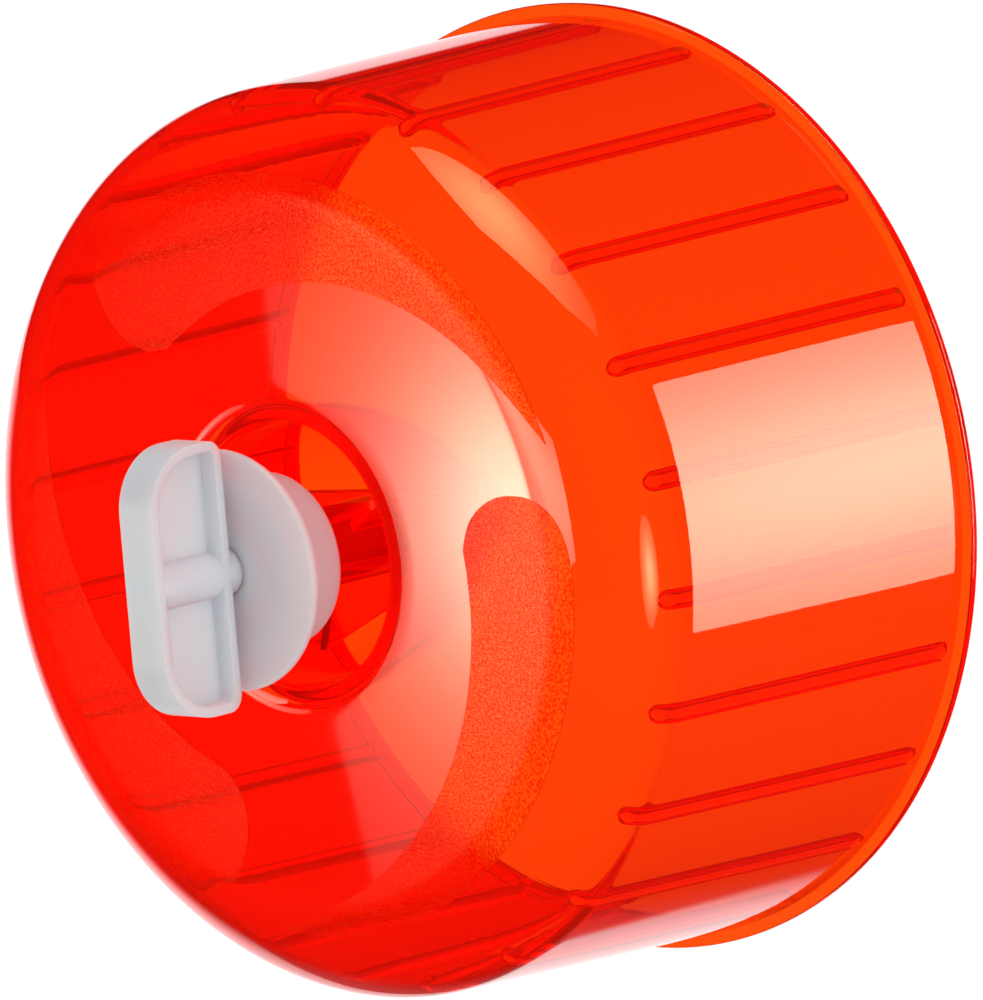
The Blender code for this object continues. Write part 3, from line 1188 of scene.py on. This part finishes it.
def oval(half_width: float, half_height: float, steps: int = 24) -> list[Point]:
    """Return the outline of an oval."""
    turns = full_turn(steps)
    return [(half_width * math.cos(turn), half_height * math.sin(turn)) for turn in turns]


def ring_piece(
    inner: float, outer: float, first: float, last: float, rounded: float
) -> list[Point]:
    """Draw the outline of a piece of a flat ring, with rounded corners.

    Args:
        inner: Inner radius.
        outer: Outer radius.
        first: Angle where the piece starts.
        last: Angle where it ends.
        rounded: Length that each corner loses on either side.

    Returns:
        The points, once round.
    """
    steps = 24
    turns = [first + (last - first) * index / steps for index in range(steps + 1)]
    corners = []
    for radius, row in ((outer, turns), (inner, reversed(turns))):
        corners += [(radius * cosine(turn), radius * sine(turn)) for turn in row]
    return soften(corners, rounded, 6)


CARDS = (
    # In the flat closed face, brightest right of the hub.
    Card(
        name="face_card",
        towards=(-0.70, -0.695, -0.15),
        distance=0.8,
        outline=(
            (0.003, 0.064), (0.003, 0.030), (0.008, -0.025),
            (0.015, -0.070), (0.085, -0.100), (0.085, 0.070),
        ),
        glow=Glow(brightness=18.5, spot=(0.050, 0.005), spread=(0.028, 0.041), fall=2.0),
    ),
    # A wide card, which draws a pale line round the edge of the face.
    Card(
        name="side_card",
        towards=(-0.27, -0.96, 0.0),
        distance=1.0,
        outline=((-0.505, -0.24), (-0.20, -0.20), (0.44, -0.14), (0.44, 0.16), (-0.505, 0.21)),
        glow=Glow(brightness=7.0, spread=(0.8, 0.16)),
    ),
    # A curved card in the plane behind the rim, which the right side of the wall mirrors.
    Card(
        name="wall_card",
        towards=(0.0, -1.0, 0.0),
        distance=-0.40675,
        outline=ring_piece(inner=0.4165, outer=0.510, first=-27.0, last=30.3, rounded=0.024),
        glow=Glow(brightness=12.5, spot=(0.440, 0.01), spread=(0.15, 0.20)),
    ),
    # A soft card above, which the rounded corner draws out to a leaf.
    Card(
        name="top_card",
        towards=(0.06, -0.56, 0.83),
        distance=1.0,
        outline=(
            (-0.26, 0.38), (-0.15, 0.18), (-0.06, 0.05), (0.04, -0.04), (0.17, -0.06),
            (0.34, -0.06), (0.57, -0.04), (0.95, 0.13), (1.0, 0.42), (0.76, 0.51),
            (0.5, 0.58), (0.28, 0.61), (0.10, 0.62), (-0.10, 0.54), (-0.20, 0.47),
        ),
        glow=Glow(brightness=8.0, spot=(0.14, 0.20), spread=(0.30, 0.35), colour=AMBER),
    ),
    # A small card, which gives the streak on the right of the corner.
    Card(
        name="streak_card",
        towards=(0.574, -0.286, -0.102),
        distance=0.65,
        outline=oval(half_width=0.085, half_height=0.13),
        glow=Glow(brightness=12.0, spread=(0.07, 0.10), fall=2.0, colour=AMBER),
    ),
)


@dataclass
class Studio:
    """Floor, surroundings, cards and camera."""

    floor_height: float = -0.24
    floor_half: float = 9.0
    floor_paint: Colour = (0.86, 0.86, 0.86, 1.0)
    floor_mirrored: Colour = (0.01, 0.01, 0.01, 1.0)
    floor_roughness: float = 0.9
    floor_glow: float = 0.34
    painted_shadow_glow: float = 0.45
    painted_shadow_step: Step = (0.35, 0.70)
    ahead_step: Step = (0.80, 0.95)
    haze: float = 0.15
    haze_step: Step = (0.10, 0.20)
    white_step: Step = (0.235, 0.262)
    behind_step: Step = (0.955, 0.975)
    behind_top_step: Step = (0.165, 0.205)
    dim_mirror: float = 0.008
    soft_light: float = 0.50
    side_light: float = 1.5
    side_step: Step = (-0.5, 0.9)
    side_turn: float = 0.35
    steep_light: float = 0.35
    steep_step: Step = (0.45, 0.85)
    light_through_drum: float = 2.8
    azimuth: float = 44.15
    elevation: float = 8.40
    roll: float = -4.95
    distance: float = 2.0006
    shift_right: float = -0.018508
    shift_up: float = -0.003458
    lens: float = 492.46
    sensor: float = 36.0
    clip: Step = (0.05, 100.0)

    def sight_lines(self) -> tuple[Vector, Vector, Vector]:
        """Work out the camera's directions.

        Returns:
            Its right, up and back.
        """
        aside, ahead = sine(self.azimuth), cosine(self.azimuth)
        out = cosine(self.elevation)
        back = Vector((aside * out, -ahead * out, sine(self.elevation)))
        level = Vector((ahead, aside, 0.0))
        right = level * cosine(self.roll) + back.cross(level) * sine(self.roll)
        return right, back.cross(right), back

    def away(self) -> Vector:
        """Return the level direction from the camera past the wheel."""
        back = self.sight_lines()[2]
        return -Vector((back.x, back.y, 0.0)).normalized()

    def add_camera(self, line: AxleLine) -> None:
        """Add the camera at the photograph's viewing angle.

        Args:
            line: Places along the axle.
        """
        right, up, back = self.sight_lines()
        camera = bpy.data.cameras.new("camera")
        camera.lens = self.lens
        camera.sensor_width = self.sensor
        camera.clip_start, camera.clip_end = self.clip
        piece = bpy.data.objects.new("camera", camera)
        place = back * self.distance + right * self.shift_right + up * self.shift_up
        place += Vector((0.0, line.rim, 0.0))
        turn = Matrix((right, up, back)).transposed()
        piece.matrix_world = Matrix.Translation(place) @ turn.to_4x4()
        bpy.context.scene.collection.objects.link(piece)
        bpy.context.scene.camera = piece

    def add_floor(self) -> None:
        """Add the pale floor, which reads as white and keeps the shadow, with a painted shadow near
        the wheel for rays through the plastic.
        """
        bm = bmesh.new()
        half = self.floor_half
        corners = ((-half, -half), (half, -half), (half, half), (-half, half))
        bm.faces.new([bm.verts.new((x, y, self.floor_height)) for x, y in corners])
        floor = add_piece("floor", bm)
        sheet = NodeSheet(bpy.data.materials.new("pale_floor"))
        path = sheet.add("LightPath").outputs
        place = sheet.add("NewGeometry").outputs["Position"]
        glossy = path["Is Glossy Ray"]
        paint = sheet.mixed(glossy, self.floor_paint, self.floor_mirrored, Mixed.RGBA)
        glow = sheet.maths("MULTIPLY", glossy, self.floor_in_mirror(sheet, place))
        # Painted shadow: seen through the plastic, the floor is darker close to the wheel.
        near = sheet.ramp(sheet.vector("LENGTH", place), self.painted_shadow_step)
        through = sheet.scaled(near, self.painted_shadow_glow, 1.0)
        glow = sheet.mixed(path["Is Transmission Ray"], glow, through)
        glow = sheet.mixed(path["Is Camera Ray"], glow, self.floor_glow)
        sheet.shade(Base_Color=paint, Roughness=self.floor_roughness)
        sheet.shade(Emission_Color=WHITE, Emission_Strength=glow)
        floor.data.materials.append(sheet.owner)

    def floor_in_mirror(self, sheet: NodeSheet, place: Socket) -> Socket:
        """Work out how bright the floor is in the drum's mirror images.

        Args:
            sheet: The floor's nodes.
            place: Socket with the place on the floor.

        Returns:
            Socket with the brightness.
        """
        beyond = sheet.vector("DOT_PRODUCT", place, self.away())
        level = sheet.vector("LENGTH", sheet.vector("MULTIPLY", place, (1.0, 1.0, 0.0)))
        ahead = sheet.ramp(sheet.maths("DIVIDE", beyond, level), self.ahead_step)
        haze = sheet.scaled(sheet.ramp(beyond, self.haze_step), 0.0, self.haze)
        pale = sheet.maths("ADD", haze, sheet.ramp(beyond, self.white_step))
        return sheet.maths("MULTIPLY", ahead, pale)

    def add_world(self) -> None:
        """Add the surroundings: white behind the wheel, soft light from the right."""
        world = bpy.data.worlds.new("studio")
        bpy.context.scene.world = world
        sheet = NodeSheet(world)
        path = sheet.add("LightPath").outputs
        way = sheet.add("TexCoord").outputs["Generated"]
        height = sheet.add("SeparateXYZ", Vector=way).outputs["Z"]
        behind = sheet.ramp(sheet.vector("DOT_PRODUCT", way, self.away()), self.behind_step)
        below_top = sheet.scaled(sheet.ramp(height, self.behind_top_step), 1.0, 0.0)
        mirrored = sheet.scaled(sheet.maths("MULTIPLY", behind, below_top), self.dim_mirror, 1.0)
        right = (self.sight_lines()[0] + self.away() * self.side_turn).normalized()
        sideways = sheet.ramp(sheet.vector("DOT_PRODUCT", way, right), self.side_step)
        soft = sheet.scaled(sideways, self.soft_light, self.side_light)
        steep = sheet.ramp(sheet.maths("ABSOLUTE", height), self.steep_step)
        shone_on = sheet.scaled(path["Diffuse Depth"], 1.0, self.light_through_drum)
        level = sheet.maths("MULTIPLY", sheet.scaled(steep, 1.0, self.steep_light), shone_on)
        light = sheet.mixed(path["Is Glossy Ray"], soft, mirrored)
        light = sheet.mixed(path["Is Transmission Ray"], light, level)
        light = sheet.mixed(path["Is Camera Ray"], light, 1.0)
        background = sheet.nodes["Background"].inputs
        background["Color"].default_value = WHITE
        sheet.feed(light, background["Strength"])

    def build(self, line: AxleLine) -> None:
        """Build the whole studio.

        Args:
            line: Places along the axle.
        """
        self.add_camera(line)
        self.add_floor()
        self.add_world()
        for card in CARDS:
            card.build(Vector((0.0, line.face, 0.0)))


def main() -> None:
    """Build the studio and the wheel, and report each piece."""
    logging.basicConfig(level=logging.INFO, format="%(message)s")
    bpy.context.scene.view_settings.view_transform = "Standard"
    line = AxleLine()
    Studio().build(line)
    orange = ClearOrange().make()
    white = MilkyWhite().make()
    pieces = (
        (RunningDrum(line), orange),
        (LockBar(line), white),
        (SupportDisc(line), white),
        (AxleCap(line), white),
    )
    for part, finish in pieces:
        piece = part.build(finish)
        LOG.info("%s: %d faces", piece.name, len(piece.data.polygons))


if __name__ == "__main__":
    main()
